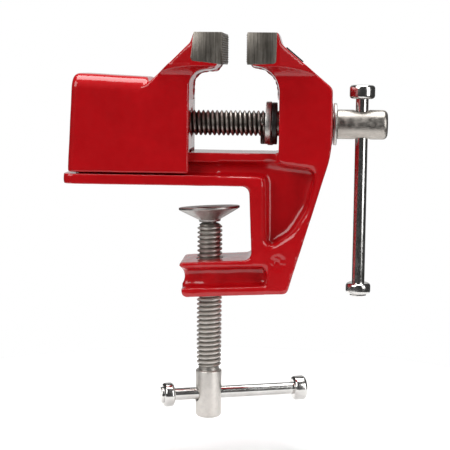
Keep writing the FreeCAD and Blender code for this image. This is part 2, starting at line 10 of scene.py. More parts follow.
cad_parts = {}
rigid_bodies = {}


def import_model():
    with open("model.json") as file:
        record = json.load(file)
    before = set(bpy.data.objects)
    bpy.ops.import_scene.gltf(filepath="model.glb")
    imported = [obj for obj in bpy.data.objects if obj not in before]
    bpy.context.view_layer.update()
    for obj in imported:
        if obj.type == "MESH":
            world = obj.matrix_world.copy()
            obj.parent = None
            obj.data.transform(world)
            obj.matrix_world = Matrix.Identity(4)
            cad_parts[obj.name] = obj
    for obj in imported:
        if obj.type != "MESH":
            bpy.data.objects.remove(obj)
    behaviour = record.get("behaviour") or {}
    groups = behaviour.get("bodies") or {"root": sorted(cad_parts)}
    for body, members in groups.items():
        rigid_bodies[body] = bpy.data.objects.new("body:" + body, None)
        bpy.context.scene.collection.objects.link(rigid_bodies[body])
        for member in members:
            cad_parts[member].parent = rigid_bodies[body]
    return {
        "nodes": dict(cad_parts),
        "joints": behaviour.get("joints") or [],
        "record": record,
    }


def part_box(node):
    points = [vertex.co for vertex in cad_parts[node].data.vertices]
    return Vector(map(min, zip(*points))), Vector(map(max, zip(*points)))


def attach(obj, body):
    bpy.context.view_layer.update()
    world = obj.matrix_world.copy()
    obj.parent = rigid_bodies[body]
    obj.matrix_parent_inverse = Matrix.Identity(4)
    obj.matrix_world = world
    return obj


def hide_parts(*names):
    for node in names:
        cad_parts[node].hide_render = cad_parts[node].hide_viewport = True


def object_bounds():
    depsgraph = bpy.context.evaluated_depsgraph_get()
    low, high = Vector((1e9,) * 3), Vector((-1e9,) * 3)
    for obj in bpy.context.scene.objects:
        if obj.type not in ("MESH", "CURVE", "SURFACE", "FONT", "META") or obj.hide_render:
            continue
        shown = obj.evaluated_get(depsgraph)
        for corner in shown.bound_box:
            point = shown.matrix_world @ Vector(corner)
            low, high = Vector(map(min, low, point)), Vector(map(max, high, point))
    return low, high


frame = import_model()
cadLow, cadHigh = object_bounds()
mm = 0.001
full = 2 * math.pi


# lengths in the dictionaries are millimetres and angles degrees, unless a note says otherwise

def box(node):
    low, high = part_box(node)
    return low, high, (low + high) / 2


def jointPlace(name):
    joint = next(item for item in frame["joints"] if item["name"] == name)
    return Vector(joint.get("pos_m", (0, 0, 0))), Vector(joint["axis"]).normalized()


# materials

class Wire:
    # one output socket; arithmetic on it adds Math nodes
    def __init__(self, finish, socket):
        self.finish, self.socket = finish, socket

    def math(self, operation, first, second):
        return self.finish.node("ShaderNodeMath", {"operation": operation}, {0: first, 1: second})

    def __add__(self, other):
        return self.math("ADD", self, other)

    def __radd__(self, other):
        return self.math("ADD", other, self)

    def __sub__(self, other):
        return self.math("SUBTRACT", self, other)

    def __rsub__(self, other):
        return self.math("SUBTRACT", other, self)

    def __mul__(self, other):
        return self.math("MULTIPLY", self, other)

    def __rmul__(self, other):
        return self.math("MULTIPLY", other, self)

    def __truediv__(self, other):
        return self.math("DIVIDE", self, other)

    def __rtruediv__(self, other):
        return self.math("DIVIDE", other, self)

    def __pow__(self, other):
        return self.math("POWER", self, other)


class Finish:
    # a material with one Principled shader, and the tree that feeds it
    def __init__(self, name, **constants):
        self.material = bpy.data.materials.new(name)
        self.material.use_nodes = True
        self.tree = self.material.node_tree
        self.shader = self.tree.nodes["Principled BSDF"]
        for label, value in constants.items():
            self.shader.inputs[label.replace("_", " ")].default_value = value
        self.place = self.node("ShaderNodeTexCoord", output="Object")

    def node(self, kind, settings=None, sockets=None, output=0):
        made = self.tree.nodes.new(kind)
        for name, value in (settings or {}).items():
            if name == "stops":
                ramp = made.color_ramp.elements
                while len(ramp) < len(value):
                    ramp.new(0.5)
                for stop, (position, colour) in zip(ramp, value):
                    stop.position, stop.color = position, (*colour, 1)
            else:
                setattr(made, name, value)
        for name, value in (sockets or {}).items():
            self.feed(made.inputs[name], value)
        return Wire(self, made.outputs[output])

    def feed(self, socket, value):
        if isinstance(value, Wire):
            self.tree.links.new(value.socket, socket)
        else:
            socket.default_value = value

    def set(self, **links):
        for label, value in links.items():
            self.feed(self.shader.inputs[label.replace("_", " ")], value)

    def noise(self, scale, detail=3.0, rough=0.5, stretch=(1, 1, 1), seed=0.0):
        # grain whose size is about 1 / scale metres, stretched along an axis by a small factor
        mapped = self.node("ShaderNodeMapping", None, {"Vector": self.place, "Scale": stretch,
                                                       "Location": (seed, seed * 0.7, -seed)})
        return self.node("ShaderNodeTexNoise", None, {"Vector": mapped, "Scale": scale,
                                                      "Detail": detail, "Roughness": rough})

    def spread(self, wire, low, high):
        # a noise value brought to the range low..high
        return self.node("ShaderNodeMapRange", {"clamp": True}, {
            "Value": wire, "From Min": 0.3, "From Max": 0.7, "To Min": low, "To Max": high})

    def mixColour(self, factor, first, second):
        return self.node("ShaderNodeMix", {"data_type": "RGBA"}, {0: factor, 6: (*first, 1),
                                                                 7: (*second, 1)}, output=2)

    def bump(self, height, strength, distance):
        return self.node("ShaderNodeBump", None, {"Height": height, "Strength": strength,
                                                  "Distance": distance})


def enamelFinish():
    # thick gloss paint: deep red, a little lighter where it is thin, with a faint orange peel
    made = Finish("redEnamel", Coat_Weight=1.0, Coat_Roughness=0.06, Coat_IOR=1.45,
                  Specular_IOR_Level=0.12)
    cloud = made.noise(70, 3, 0.55)
    thin = made.noise(320, 3, 0.6, seed=13)
    made.set(Base_Color=made.mixColour(made.spread(cloud * 0.7 + thin * 0.3, 0.0, 1.0),
                                       (0.40, 0.0016, 0.0040), (0.50, 0.0030, 0.0066)),
             Roughness=made.spread(made.noise(400, 2, 0.5, seed=3), 0.30, 0.45))
    wave = made.noise(160, 2, 0.4, seed=7)
    peel = made.noise(900, 2, 0.5, seed=11)
    made.set(Normal=made.bump(wave * 0.8 + peel * 0.2, 0.35, 0.0004))
    return made.material


def groundFinish():
    made = Finish("groundSteel", Metallic=1.0)
    streak = made.noise(1, 4, 0.6, stretch=(2600, 2600, 70), seed=2)
    stain = made.noise(260, 3, 0.6, seed=5)
    tone = made.spread(streak * 0.6 + stain * 0.4, 0.0, 1.0)
    made.set(Base_Color=made.mixColour(tone, (0.165, 0.148, 0.125), (0.40, 0.368, 0.325)),
             Roughness=made.spread(streak, 0.32, 0.52),
             Normal=made.bump(streak, 0.5, 0.00006))
    return made.material


def knurlFinish():
    # worn pyramids with old paint and dirt between them
    made = Finish("jawTeeth", Metallic=0.7)
    dirt = made.noise(1500, 3, 0.65, seed=8)
    made.set(Base_Color=made.mixColour(made.spread(dirt, 0.0, 1.0), (0.07, 0.035, 0.035),
                                       (0.52, 0.44, 0.43)),
             Roughness=made.spread(dirt, 0.35, 0.65))
    return made.material


def steelFinish(name, dark, bright, rough, wear):
    made = Finish(name, Metallic=1.0)
    line = made.noise(1200, 3, 0.6, seed=1)
    stain = made.noise(220, 3, 0.6, seed=4)
    tone = made.spread(line * (1 - wear) + stain * wear, 0.0, 1.0)
    made.set(Base_Color=made.mixColour(tone, dark, bright),
             Roughness=made.spread(stain * 0.5 + line * 0.5, rough * 0.75, rough * 1.35),
             Normal=made.bump(line, 0.35, 0.00003))
    return made.material


def threadFinish(name, node, axis, root, crest, rootShadeColour, crestColour, rough):
    # crests are rubbed bright and the roots are darkened with painted shade, told apart by distance from
    # the axis
    made = Finish(name, Metallic=1.0)
    middle = box(node)[2]
    parts = made.node("ShaderNodeSeparateXYZ", None, {0: made.place})
    across, side, up = [Wire(made, socket) for socket in parts.socket.node.outputs]
    height = up - middle.z if axis == "X" else across
    reach = (height * height + side * side) ** 0.5
    rootShadeToCrest = made.node("ShaderNodeMapRange", {"clamp": True}, {
        "Value": reach, "From Min": root * mm, "From Max": crest * mm, "To Min": 0.0, "To Max": 1.0})
    stain = made.noise(500, 3, 0.6, seed=6)
    made.set(Base_Color=made.mixColour(rootShadeToCrest * made.spread(stain, 0.7, 1.0), rootShadeColour, crestColour),
             Roughness=made.spread(stain, rough * 0.8, rough * 1.4))
    return made.material


def plainFinish(name, dark, bright, rough, grainSize, bumpDeep):
    made = Finish(name)
    grain = made.noise(grainSize, 3, 0.6, seed=9)
    made.set(Base_Color=made.mixColour(made.spread(grain, 0.0, 1.0), dark, bright),
             Roughness=made.spread(grain, rough * 0.8, rough * 1.2),
             Normal=made.bump(grain, 0.4, bumpDeep))
    return made.material


finishes = {
    "enamel": enamelFinish(),
    "ground": groundFinish(),
    "teeth": knurlFinish(),
    "nickel": steelFinish("nickelPlate", (0.56, 0.55, 0.53), (0.74, 0.73, 0.71), 0.17, 0.7),
    "bright": steelFinish("turnedSteel", (0.30, 0.29, 0.275), (0.50, 0.49, 0.47), 0.40, 0.4),
    "spring": steelFinish("springSteel", (0.42, 0.41, 0.39), (0.66, 0.65, 0.62), 0.42, 0.6),
    "dark": steelFinish("oiledSteel", (0.10, 0.09, 0.085), (0.24, 0.22, 0.20), 0.34, 0.6),
    # near-black washer finish: painted shade where the thrust washer sits between the spring washer and
    # the body
    "black": plainFinish("blackSteel", (0.006, 0.006, 0.006), (0.02, 0.019, 0.018), 0.40, 900,
                         0.00004),
    "label": plainFinish("blackLabel", (0.008, 0.008, 0.009), (0.016, 0.016, 0.017), 0.35, 500,
                         0.00001),
    # thread finishes: the first colour is painted shade in the roots, the second the rubbed crest
    "mainThread": threadFinish("mainThread", "main_screw", "X", 3.95, 4.9, (0.05, 0.042, 0.036),
                               (0.50, 0.47, 0.43), 0.38),
    "clampThread": threadFinish("clampThread", "clamp_screw", "Z", 3.95, 4.8, (0.30, 0.28, 0.255),
                                (0.74, 0.71, 0.67), 0.42),
}
print("materials:", len(finishes))


# mesh helpers

def meshFrom(work, name):
    mesh = bpy.data.meshes.new(name)
    work.to_mesh(mesh)
    work.free()
    return mesh


def linked(name, data):
    made = bpy.data.objects.new(name, data)
    bpy.context.scene.collection.objects.link(made)
    return made


def addPiece(name, mesh, body, materials, replaced=(), angle=35.0):
    piece = linked(name, mesh)
    mesh.materials.clear()
    for material in materials:
        mesh.materials.append(finishes[material])
    shadeByAngle(mesh, angle)
    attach(piece, body)
    if replaced:
        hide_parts(*replaced)


def shadeByAngle(mesh, angle):
    # smooth faces, with edges sharper than the angle kept crisp
    work = bmesh.new()
    work.from_mesh(mesh)
    for face in work.faces:
        face.smooth = True
    for edge in work.edges:
        if edge.is_manifold:
            edge.smooth = edge.calc_face_angle(0) < math.radians(angle)
    work.to_mesh(mesh)
    work.free()


def rounded(corners, steps=5):
    # (along, radius) or (along, radius, rounding) corners of a turned profile, with arcs put in
    points = []
    for number, corner in enumerate(corners):
        here = Vector(corner[:2])
        if len(corner) == 2:
            points.append(here)
            continue
        back = (Vector(corners[number - 1][:2]) - here).normalized()
        ahead = (Vector(corners[number + 1][:2]) - here).normalized()
        half = back.angle(ahead) / 2
        middle = here + (back + ahead).normalized() * (corner[2] / math.sin(half))
        first = here + back * (corner[2] / math.tan(half)) - middle
        last = here + ahead * (corner[2] / math.tan(half)) - middle
        for step in range(steps + 1):
            mixed = first.lerp(last, step / steps)
            points.append(middle + mixed.normalized() * corner[2])
    return points


def lathe(corners, sides):
    # a closed turned solid along +Z; the profile runs from low to high and may start off the axis
    profile = rounded(corners)
    closed = profile[0][1] > 1e-6
    work = bmesh.new()
    rings = []
    for along, radius in profile:
        if radius < 1e-6:
            rings.append([work.verts.new((0, 0, along * mm))])
            continue
        rings.append([work.verts.new((radius * mm * math.cos(full * n / sides),
                                      radius * mm * math.sin(full * n / sides), along * mm))
                      for n in range(sides)])
    pairs = list(zip(rings, rings[1:])) + ([(rings[-1], rings[0])] if closed else [])
    for low, high in pairs:
        for n in range(sides):
            ahead = (n + 1) % sides
            ring = [low[n % len(low)], low[ahead % len(low)], high[ahead % len(high)],
                    high[n % len(high)]]
            corner = list(dict.fromkeys(ring))
            if len(corner) > 2:
                work.faces.new(corner)
    bmesh.ops.recalc_face_normals(work, faces=work.faces)
    return meshFrom(work, "turned")


def boxMesh(low, high):
    work = bmesh.new()
    bmesh.ops.create_cube(work, size=1)
    low, high = Vector(low), Vector(high)
    size, middle = high - low, (low + high) / 2
    for vertex in work.verts:
        vertex.co = Vector([vertex.co[n] * size[n] + middle[n] for n in range(3)])
    return meshFrom(work, "box")


def prismMesh(outline, low, high, soft):
    # an outline of (X, Z) points pulled along Y from low to high, its long edges softened
    work = bmesh.new()
    front = [work.verts.new((x, low, z)) for x, z in outline]
    rear = [work.verts.new((x, high, z)) for x, z in outline]
    work.faces.new(front)
    work.faces.new(rear[::-1])
    for n in range(len(outline)):
        work.faces.new((front[n], rear[n], rear[(n + 1) % len(outline)],
                        front[(n + 1) % len(outline)]))
    bmesh.ops.recalc_face_normals(work, faces=work.faces)
    sharp = [edge for edge in work.edges if edge.calc_face_angle(0) > math.radians(40)]
    bmesh.ops.bevel(work, geom=sharp, offset=soft, segments=2, affect="EDGES", profile=0.5)
    return meshFrom(work, "prism")


def joinMeshes(parts):
    # parts are (mesh, matrix, material number); the result is one mesh
    work = bmesh.new()
    for mesh, matrix, material in parts:
        start = len(work.faces)
        first = len(work.verts)
        work.from_mesh(mesh)
        work.verts.ensure_lookup_table()
        work.faces.ensure_lookup_table()
        for vertex in work.verts[first:]:
            vertex.co = matrix @ vertex.co
        for face in work.faces[start:]:
            face.material_index = material
    return meshFrom(work, "joined")


def evaluated(mesh, *modifiers):
    # a mesh after modifiers given as (type, settings), each applied for good
    holder = linked("holder", mesh)
    for kind, settings in modifiers:
        modifier = holder.modifiers.new(kind, kind)
        for name, value in settings.items():
            setattr(modifier, name, value)
    ready = holder.evaluated_get(bpy.context.evaluated_depsgraph_get())
    result = bpy.data.meshes.new_from_object(ready)
    bpy.data.objects.remove(holder)
    return result


def carve(mesh, cutters):
    # cuts closed meshes away with the exact solver
    holders = [linked("cutter", cutter) for cutter in cutters]
    steps = [("BOOLEAN", {"operation": "DIFFERENCE", "object": holder, "solver": "EXACT"})
             for holder in holders]
    result = evaluated(mesh, *steps)
    for holder in holders:
        bpy.data.objects.remove(holder)
    return result


def pointing(direction, place):
    # a matrix that turns +Z to a direction and moves the origin to a place
    turn = Vector((0, 0, 1)).rotation_difference(Vector(direction)).to_matrix().to_4x4()
    return Matrix.Translation(Vector(place)) @ turn


# Geometry Nodes: screw threads and jaw teeth

class Tree:
    # a Geometry Nodes tree with named size inputs, ending in Realize Instances and Set Material
    def __init__(self, name, sizes):
        self.group = bpy.data.node_groups.new(name, "GeometryNodeTree")
        self.group.interface.new_socket("Geometry", in_out="INPUT", socket_type="NodeSocketGeometry")
        self.group.interface.new_socket("Geometry", in_out="OUTPUT", socket_type="NodeSocketGeometry")
        self.ids = {}
        for label, kind in sizes.items():
            socket = self.group.interface.new_socket(label, in_out="INPUT",
                                                     socket_type="NodeSocket" + kind)
            self.ids[label] = socket.identifier
        self.entry = self.group.nodes.new("NodeGroupInput")

    def size(self, label):
        return Wire(self, self.entry.outputs[label])

    def node(self, kind, settings=None, sockets=None, output=0):
        made = self.group.nodes.new(kind)
        for name, value in (settings or {}).items():
            setattr(made, name, value)
        for name, value in (sockets or {}).items():
            if isinstance(value, Wire):
                self.group.links.new(value.socket, made.inputs[name])
            else:
                made.inputs[name].default_value = value
        return Wire(self, made.outputs[output])

    def finish(self, geometry):
        real = self.node("GeometryNodeRealizeInstances", None, {0: geometry})
        painted = self.node("GeometryNodeSetMaterial", None,
                            {"Geometry": real, "Material": self.size("Material")})
        leave = self.group.nodes.new("NodeGroupOutput")
        self.group.links.new(painted.socket, leave.inputs[0])

    def build(self, **values):
        # runs the tree with these inputs and gives a plain mesh
        holder = linked("grown", bpy.data.meshes.new("grown"))
        modifier = holder.modifiers.new("grow", "NODES")
        modifier.node_group = self.group
        for label, value in values.items():
            modifier[self.ids[label]] = value
        ready = holder.evaluated_get(bpy.context.evaluated_depsgraph_get())
        mesh = bpy.data.meshes.new_from_object(ready)
        holder.modifiers.clear()
        bpy.data.objects.remove(holder)
        return mesh


def mathNode(tree, operation, first, second=0.0):
    # a Math node in a Geometry Nodes tree
    return tree.node("ShaderNodeMath", {"operation": operation}, {0: first, 1: second})


def threadTree():
    # rows of a grid follow the helix, so the crest is a clean edge all the way
    tree = Tree("screwThread", {"Turns": "Int", "Pitch": "Float", "Crest": "Float", "Deep": "Float",
                                "Samples": "Int", "Sides": "Int", "Material": "Material"})
    turns, pitch, crest = tree.size("Turns"), tree.size("Pitch"), tree.size("Crest")
    grid = tree.node("GeometryNodeMeshGrid", None, {
        "Size X": 1.0, "Size Y": 1.0, "Vertices X": (turns + 1) * tree.size("Samples") + 1,
        "Vertices Y": tree.size("Sides") + 1})
    spot = tree.node("ShaderNodeSeparateXYZ", None, {0: tree.node("GeometryNodeInputPosition")})
    across = Wire(tree, spot.socket.node.outputs[0]) + 0.5
    around = Wire(tree, spot.socket.node.outputs[1]) + 0.5
    row = across * (turns + 1)
    length = turns * pitch
    climb = mathNode(tree, "MAXIMUM", (row + around - 1) * pitch, 0.0)
    along = mathNode(tree, "MINIMUM", climb, length)
    slope = mathNode(tree, "ABSOLUTE", mathNode(tree, "FRACT", row) * 2 - 1)
    groove = mathNode(tree, "MINIMUM", mathNode(tree, "MAXIMUM", slope * 1.6 - 0.42, 0.0), 1.0)
    ending = mathNode(tree, "MINIMUM", along, length - along)
    radius = mathNode(tree, "MINIMUM", crest - groove * tree.size("Deep"),
                      crest - tree.size("Deep") + ending)
    angle = around * full
    turned = tree.node("ShaderNodeCombineXYZ", None, {
        0: radius * mathNode(tree, "COSINE", angle), 1: radius * mathNode(tree, "SINE", angle),
        2: along})
    moved = tree.node("GeometryNodeSetPosition", None, {"Geometry": grid, "Position": turned})
    merged = tree.node("GeometryNodeMergeByDistance", None, {"Geometry": moved, "Distance": 0.00001})
    tree.finish(merged)
    return tree


def toothTree():
    # a field of small pyramids on the XY plane, points up
    tree = Tree("jawTeeth", {"Wide": "Float", "Tall": "Float", "Pitch": "Float", "Deep": "Float",
                             "Material": "Material"})
    pitch = tree.size("Pitch")
    countX = mathNode(tree, "FLOOR", tree.size("Wide") / pitch)
    countY = mathNode(tree, "FLOOR", tree.size("Tall") / pitch)
    grid = tree.node("GeometryNodeMeshGrid", None, {
        "Size X": (countX - 1) * pitch, "Size Y": (countY - 1) * pitch, "Vertices X": countX,
        "Vertices Y": countY})
    pyramid = tree.node("GeometryNodeMeshCone", {"fill_type": "NGON"}, {
        "Vertices": 4, "Radius Top": pitch * 0.06, "Radius Bottom": pitch * 0.7071,
        "Depth": tree.size("Deep")})
    placed = tree.node("GeometryNodeInstanceOnPoints", None, {
        "Points": grid, "Instance": pyramid, "Rotation": (0.0, 0.0, math.radians(45))})
    tree.finish(placed)
    return tree


threads = threadTree()
teeth = toothTree()
thread = {"crest": 5.0, "pitch": 25.4 / 14, "deep": 1.05, "samples": 8, "sides": 48}


def threadMesh(turns, material):
    mesh = threads.build(Turns=turns, Pitch=thread["pitch"] * mm, Crest=thread["crest"] * mm,
                         Deep=thread["deep"] * mm, Samples=thread["samples"], Sides=thread["sides"],
                         Material=finishes[material])
    work = bmesh.new()
    work.from_mesh(mesh)
    bmesh.ops.recalc_face_normals(work, faces=work.faces)
    edges = [edge for edge in work.edges if edge.is_boundary]
    bmesh.ops.holes_fill(work, edges=edges, sides=0)
    bmesh.ops.recalc_face_normals(work, faces=work.faces)
    work.to_mesh(mesh)
    work.free()
    return mesh


castings = {"voxel": 0.5, "ridgeStep": 0.4, "smoothSteps": 12, "flatFrom": 1.0, "flatTo": 2.2,
            "sharpAngle": 20.0, "waveTall": 0.07, "waveLong": 7.0, "flareTall": 4.5,
            "fixedFoot": 42.0, "slideFoot": -21.8, "armHalf": 15.0}
throat = {"left": -9.0, "right": 29.0, "aboveScrew": 9.0, "pastJaw": 2.0, "draft": 0.75,
          "draftReach": 14.0, "flashTall": 0.55, "flashWide": 0.8, "flashGrain": 1.4}
# recesses cast with soft edges: corners across and up, reach past them, smoothing passes
frameSide = ([(22.4, 8.8), (42.6, 6.6), (38.7, -8.0), (32.5, -18.5), (22.9, -24.4)], 1.7, 60)
railNeck = ([(4.0, 3.6), (27.0, 3.6), (27.0, 9.2), (4.0, 9.2)], 0.4, 26)
armSide = ([(-11.2, -33.0), (22.4, -32.2), (22.4, -39.6), (-11.2, -40.2)], 1.1, 34)
dent = {"across": 27.5, "up": -30.0, "reach": 3.6, "deep": 1.0, "grain": 1.8}
notch = {"up": -36.6, "tall": 3.4, "from": -7.5, "deep": 1.2}


def castSkin(node, cutters, arm, soft=()):
    # a casting's soft-edged skin: flats stay exactly on the frame's shape, edges are rounded
    source = frame["nodes"][node].data.copy()
    work = bmesh.new()
    work.from_mesh(source)
    bmesh.ops.remove_doubles(work, verts=work.verts, dist=1e-6)
    work.to_mesh(source)
    work.free()
    solid = carve(source, cutters)
    work = bmesh.new()
    work.from_mesh(solid)
    bmesh.ops.remove_doubles(work, verts=work.verts, dist=1e-6)
    ridge = []
    for edge in work.edges:
        if edge.is_manifold and edge.calc_face_angle(0) > math.radians(castings["sharpAngle"]):
            first, last = edge.verts[0].co, edge.verts[1].co
            count = max(1, int((last - first).length / (castings["ridgeStep"] * mm)))
            ridge += [first.lerp(last, n / count) for n in range(count + 1)]
    flat = BVHTree.FromBMesh(work)
    work.free()
    near = KDTree(len(ridge))
    for n, point in enumerate(ridge):
        near.insert(point, n)
    near.balance()
    skin = evaluated(solid, ("REMESH", {"mode": "VOXEL", "voxel_size": castings["voxel"] * mm}),
                     ("SMOOTH", {"factor": 0.5, "iterations": castings["smoothSteps"]}))
    low, high = castings["flatFrom"] * mm, castings["flatTo"] * mm
    for vertex in skin.vertices:
        gap = near.find(vertex.co)[2]
        share = min(1.0, max(0.0, (gap - low) / (high - low)))
        share = share * share * (3 - 2 * share)
        if share > 0:
            spot = flat.find_nearest(vertex.co)[0]
            vertex.co = vertex.co.lerp(spot, share)
    for outline, spread, passes in soft:
        soften(skin, [(across * mm, up * mm) for across, up in outline], spread * mm, passes)
    flare(skin, *arm)
    roughen(skin)
    print(node, "skin", len(skin.polygons), "faces")
    return skin


def soften(skin, outline, spread, passes):
    # smooth the skin inside an outline seen from the side, and a little past it
    def inside(spot):
        odd, gap = False, math.inf
        for n in range(len(outline)):
            (ax, az), (bx, bz) = outline[n - 1], outline[n]
            if (az > spot.z) != (bz > spot.z):
                odd ^= spot.x < ax + (spot.z - az) / (bz - az) * (bx - ax)
            run, rise = bx - ax, bz - az
            share = ((spot.x - ax) * run + (spot.z - az) * rise) / (run * run + rise * rise)
            share = min(1.0, max(0.0, share))
            gap = min(gap, math.hypot(spot.x - ax - share * run, spot.z - az - share * rise))
        return odd or gap < spread

    work = bmesh.new()
    work.from_mesh(skin)
    chosen = [vertex for vertex in work.verts if inside(vertex.co)]
    for _ in range(passes):
        bmesh.ops.smooth_vert(work, verts=chosen, factor=0.5, use_axis_x=True, use_axis_y=True,
                              use_axis_z=True)
    work.to_mesh(skin)
    work.free()


def flare(skin, jawBack, foot, narrow):
    # below the jaw its sides draw in smoothly to the narrower arm, with no ledge
    wide, tall = jawHalf, castings["flareTall"] * mm
    for vertex in skin.vertices:
        spot = vertex.co
        share = min(1.0, (spot.x - foot) / (jawBack - foot))
        limit = narrow + (wide - narrow) * share
        rise = (spot.z - jawLow + tall) / tall
        if share <= 0 or rise <= 0 or spot.z > jawLow + 0.7 * mm:
            continue
        grown = abs(spot.y) * (1 + (wide / narrow - 1) * min(1.0, rise) ** 2)
        spot.y = math.copysign(max(abs(spot.y), min(limit, grown)), spot.y)


def roughen(skin):
    # poured metal under thick paint: a slow wave, and a ragged parting line around the throat
    axis = jointPlace("spindle_turn")[0].z
    skin.update()
    normals = [vertex.normal.copy() for vertex in skin.vertices]
    tall, long = castings["waveTall"] * mm, castings["waveLong"] * mm
    flash, wide = throat["flashTall"] * mm, throat["flashWide"] * mm
    for vertex, normal in zip(skin.vertices, normals):
        spot = vertex.co.copy()
        lift = noise.noise(spot / long) * tall
        inThroat = (throat["left"] * mm < spot.x < throat["right"] * mm and abs(normal.y) < 0.5
                    and axis + throat["aboveScrew"] * mm < spot.z < jawLow + throat["pastJaw"] * mm)
        if inThroat and abs(spot.y) < wide:
            ragged = 0.7 + 1.1 * noise.noise(spot / (throat["flashGrain"] * mm))
            lift += flash * max(0.0, ragged) * (1 - abs(spot.y) / wide)
        if inThroat and normal.z < 0.5:
            near = max(0.0, 1 - abs(spot.y) / (throat["draftReach"] * mm))
            lift += throat["draft"] * mm * near
        away = math.hypot(spot.x - dent["across"] * mm, spot.z - dent["up"] * mm)
        if away < dent["reach"] * mm and normal.y < -0.8:
            ragged = max(0.0, 0.5 + noise.noise(spot / (dent["grain"] * mm)))
            lift -= dent["deep"] * mm * (1 - away / (dent["reach"] * mm)) * ragged
        vertex.co = spot + normal * lift
        level = 1 - ((spot.z - notch["up"] * mm) / (notch["tall"] * mm)) ** 2
        if level > 0 and spot.x < notch["from"] * mm:
            vertex.co.x += notch["deep"] * mm * level


jaws = {"thick": 12.4, "tall": 12.5, "sideLip": 0.3, "patchRound": 1.6, "toothPitch": 0.9,
        "toothDeep": 0.28, "toothMargin": 0.9, "proud": 0.06, "soft": 0.25, "seatDeep": 2.2}
# the bare patch on each jaw's side: how far its back stays in, and its top and bottom lean
fixedPatch = {"lip": 0.8, "slant": 0.0, "rise": 0.2}
slidingPatch = {"lip": 0.1, "slant": 1.2, "rise": 1.1}


def jawBlock(name, face, back, node, body, sign, patch):
    # bare ground jaw: a crisp block with a toothed clamping face; sign is the way the face looks
    low, high, middle = box(node)
    top = high.z
    bottom = jawLow + jaws["sideLip"] * mm
    proud = jaws["proud"] * mm
    base = face - sign * jaws["toothDeep"] * mm
    rear = back + sign * patch["lip"] * mm
    radius = jaws["patchRound"] * mm
    outline = [(base, top), (rear + sign * patch["slant"] * mm, top)]
    for step in range(5):
        angle = step / 4 * math.pi / 2
        outline.append((rear + sign * radius * (1 - math.cos(angle)),
                        bottom + patch["rise"] * mm + radius * (1 - math.sin(angle))))
    outline += [(base, bottom)]
    block = prismMesh(outline, low.y - proud, high.y + proud, jaws["soft"] * mm)
    margin = jaws["toothMargin"] * mm
    field = teeth.build(Wide=high.y - low.y - margin, Tall=top - bottom - margin,
                        Pitch=jaws["toothPitch"] * mm, Deep=jaws["toothDeep"] * mm,
                        Material=finishes["teeth"])
    turn = Matrix(((0, 0, sign, base), (sign, 0, 0, middle.y), (0, 1, 0, (top + bottom) / 2),
                   (0, 0, 0, 1)))
    mesh = joinMeshes([(block, Matrix(), 0), (field, turn, 1)])
    addPiece(name, mesh, body, ["ground", "teeth"], angle=25)


def jawCutters(face, back, sign, low, high):
    # what the casting gives up to its bare jaw block
    deep = jaws["seatDeep"] * mm
    keep = back + sign * deep
    top = high.z + 1 * mm
    sides = (low.y - 1 * mm, high.y + 1 * mm)
    front = face + sign * 1 * mm
    first = boxMesh((min(keep, front), sides[0], jawLow + deep), (max(keep, front), sides[1], top))
    lipped = face - sign * 2 * mm
    second = boxMesh((min(lipped, front), sides[0], jawLow - 1 * mm),
                     (max(lipped, front), sides[1], top))
    return [first, second]


# places the pieces share, from the frame
fixedLow, fixedHigh, _ = box("body_casting")
slideLow, slideHigh, _ = box("moving_jaw")
fixedFace = next(mount["pos_m"][0] for mount in frame["record"]["mounts"]
                 if mount["name"] == "fixed_jaw_face")
slideFace = slideHigh.x
jawThick = jaws["thick"] * mm
jawLow = slideHigh.z - jaws["tall"] * mm
jawHalf = slideHigh.y
fixedBack = fixedFace + jawThick
slideBack = slideFace - jawThick
narrow = castings["armHalf"] * mm

fixedSkin = castSkin("body_casting", jawCutters(fixedFace, fixedBack, -1, fixedLow, fixedHigh),
                     (fixedBack, castings["fixedFoot"] * mm, narrow), (frameSide, railNeck, armSide))
addPiece("fixed_casting", fixedSkin, "frame", ["enamel"], ["body_casting"], 80)
slideSkin = castSkin("moving_jaw", jawCutters(slideFace, slideBack, 1, slideLow, slideHigh),
                     (slideBack, castings["slideFoot"] * mm, narrow))
addPiece("sliding_casting", slideSkin, "sliding_jaw", ["enamel"], ["moving_jaw"], 80)
jawBlock("fixed_jaw_ground", fixedFace, fixedBack, "body_casting", "frame", -1, fixedPatch)
jawBlock("sliding_jaw_ground", slideFace, slideBack, "moving_jaw", "sliding_jaw", 1, slidingPatch)
print("castings and jaws done")


# the main screw and its washers; the bars are here too, because both screws are drilled for them
bars = {"radius": 2.5, "holeSlack": 0.35, "tipRadius": 3.25, "tipLong": 0.9, "knobRadius": 4.9,
        "knobLong": 4.4, "capRadius": 5.0, "capLong": 5.4, "capDeep": 3.6, "soft": 1.3}
mainScrew = {"turns": 35, "tipChamfer": 0.4, "journalRadius": 4.95, "headLong": 19.9,
             "headRound": 1.9}


def drilled(mesh, place, direction, reach):
    # a cross hole for a bar, with a small countersink at both mouths
    radius = bars["radius"] + bars["holeSlack"]
    mouth = radius + 0.35
    half = reach * 0.5
    cutter = lathe([(-reach, 0), (-reach, mouth + 2), (-half, mouth), (-half + 0.5, radius),
                    (half - 0.5, radius), (half, mouth), (reach, mouth + 2), (reach, 0)], 48)
    cutter.transform(pointing(direction, place))
    return carve(mesh, [cutter])


